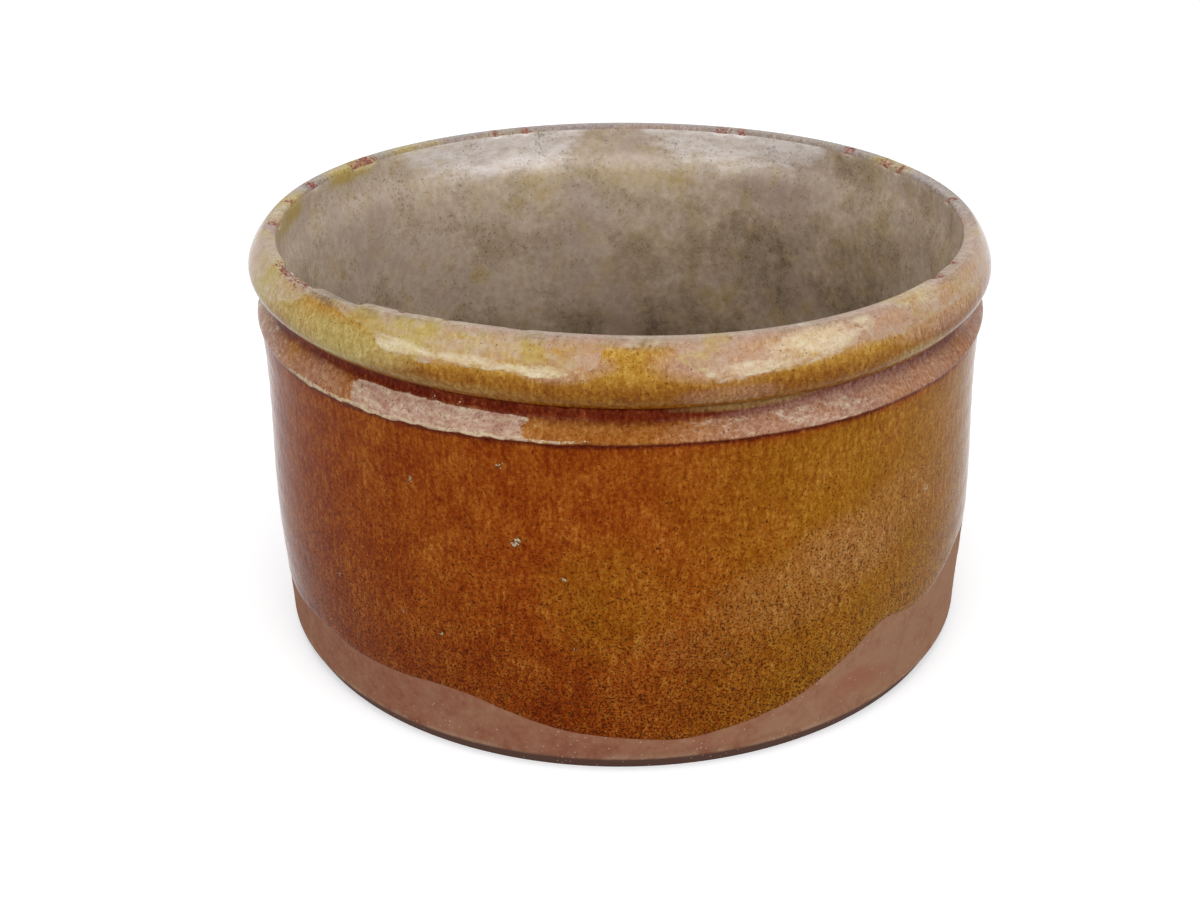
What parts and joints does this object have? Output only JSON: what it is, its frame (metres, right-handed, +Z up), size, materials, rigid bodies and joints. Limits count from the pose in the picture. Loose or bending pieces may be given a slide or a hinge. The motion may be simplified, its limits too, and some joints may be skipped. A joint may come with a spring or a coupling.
{
  "type": "earthenware pot",
  "caption": "Round earthenware pot with a rolled rim, an applied cordon, amber glaze outside and a bare clay foot.",
  "frame": {"origin": "centre of the flat base, on the surface that the pot stands on", "axes": "+Z up along the pot's axis; the front, where the glaze runs lowest, faces -Y"},
  "size_m": [0.26, 0.26, 0.148],
  "materials": {
    "bare_clay": "matte",
    "strip_clay": "matte",
    "amber_glaze": "gloss",
    "inner_glaze": "satin"
  },
  "bodies": {
    "root": {"clay_body": "bare_clay", "cordon": "strip_clay", "outer_glaze": "amber_glaze", "inner_glaze": "inner_glaze"}
  },
  "joints": []
}
